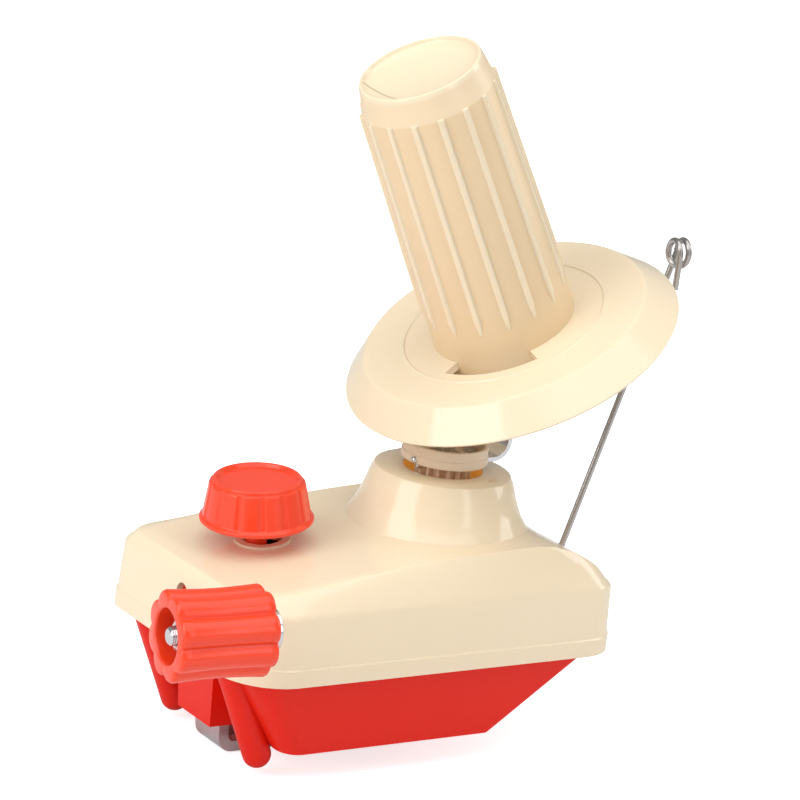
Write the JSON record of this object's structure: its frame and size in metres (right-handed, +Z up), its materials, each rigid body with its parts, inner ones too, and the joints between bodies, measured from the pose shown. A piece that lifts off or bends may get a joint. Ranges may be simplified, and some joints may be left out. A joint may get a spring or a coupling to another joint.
{
  "type": "yarn ball winder",
  "caption": "Hand-cranked yarn ball winder with a tilted ribbed spindle on a disc, moulded cover on a base, table-edge clamp with knob and a wire yarn guide.",
  "frame": {"origin": "on the table plane under the neck axis, the middle of the base's underside plane", "axes": "+Z up along the neck axis, -X towards the crank and clamp end, -Y towards the crank grip's side at rest"},
  "size_m": [0.2293, 0.125, 0.219],
  "materials": {
    "cream_plastic": "satin",
    "red_plastic": "satin",
    "gear_nylon": "satin",
    "chrome_strip": "polished",
    "plated_steel": "satin",
    "bush_brass": "satin"
  },
  "bodies": {
    "frame": {"base": "red_plastic", "cover": "cream_plastic", "cover_screws": "plated_steel", "centre_post": "plated_steel", "sun_gear": "gear_nylon", "sun_clip": "plated_steel", "crank_bush_outer": "bush_brass", "crank_bush_inner": "bush_brass", "clamp_bridge": "plated_steel", "bridge_screws": "plated_steel", "guide_bush": "red_plastic"},
    "crank": {"crank_shaft": "plated_steel", "face_gear": "gear_nylon", "crank_arm": "chrome_strip", "crank_nut": "plated_steel", "grip_bolt": "plated_steel", "grip_washer": "plated_steel", "grip_nut": "plated_steel"},
    "grip": {"crank_grip": "red_plastic"},
    "rotor": {"drive_pinion": "gear_nylon", "rotor_ring": "cream_plastic", "tilt_bracket": "chrome_strip", "ring_screws": "plated_steel", "spindle_axle": "plated_steel", "axle_nut": "plated_steel", "axle_clip": "plated_steel"},
    "spindle": {"flange_disc": "cream_plastic", "spindle_tube": "cream_plastic", "planet_gear": "gear_nylon", "disc_screws": "plated_steel"},
    "knob": {"clamp_knob": "red_plastic", "clamp_screw": "plated_steel", "screw_clip": "plated_steel"},
    "jaw": {"clamp_jaw": "chrome_strip", "jaw_nut": "plated_steel"},
    "guide": {"yarn_guide": "chrome_strip"}
  },
  "joints": [
    {"name": "rotor_turn", "type": "hinge", "parent": "frame", "child": "rotor", "pos_m": [0, 0, 0.0666], "axis": [0, 0, 1], "continuous": true},
    {"name": "crank_turn", "type": "hinge", "parent": "frame", "child": "crank", "pos_m": [-0.05, 0, 0.038], "axis": [1, 0, 0], "continuous": true},
    {"name": "spindle_spin", "type": "hinge", "parent": "rotor", "child": "spindle", "pos_m": [0, 0, 0.1488], "axis": [-0.4848, 0, 0.8746], "continuous": true},
    {"name": "grip_spin", "type": "hinge", "parent": "crank", "child": "grip", "pos_m": [-0.0943, -0.05923, 0.05081], "axis": [0.9903, -0.136, 0.0294], "continuous": true},
    {"name": "clamp_turn", "type": "hinge", "parent": "frame", "child": "knob", "pos_m": [-0.0557, 0.006, 0], "axis": [-0.1132, 0, 0.9936], "range_deg": [-910, 3250]},
    {"name": "jaw_slide", "type": "slide", "parent": "frame", "child": "jaw", "axis": [-0.1132, 0, 0.9936], "range_m": [-0.018, 0.005]},
    {"name": "guide_swing", "type": "hinge", "parent": "frame", "child": "guide", "pos_m": [0.047, 0.021, 0.033], "axis": [1, 0, 0], "range_deg": [-90, 90]}
  ],
  "couplings": [
    {"joint": "crank_turn", "follows": "rotor_turn", "ratio": 0.30769},
    {"joint": "spindle_spin", "follows": "rotor_turn", "ratio": 0.625},
    {"joint": "clamp_turn", "follows": "jaw_slide", "rad_per_m": -3141.6}
  ]
}
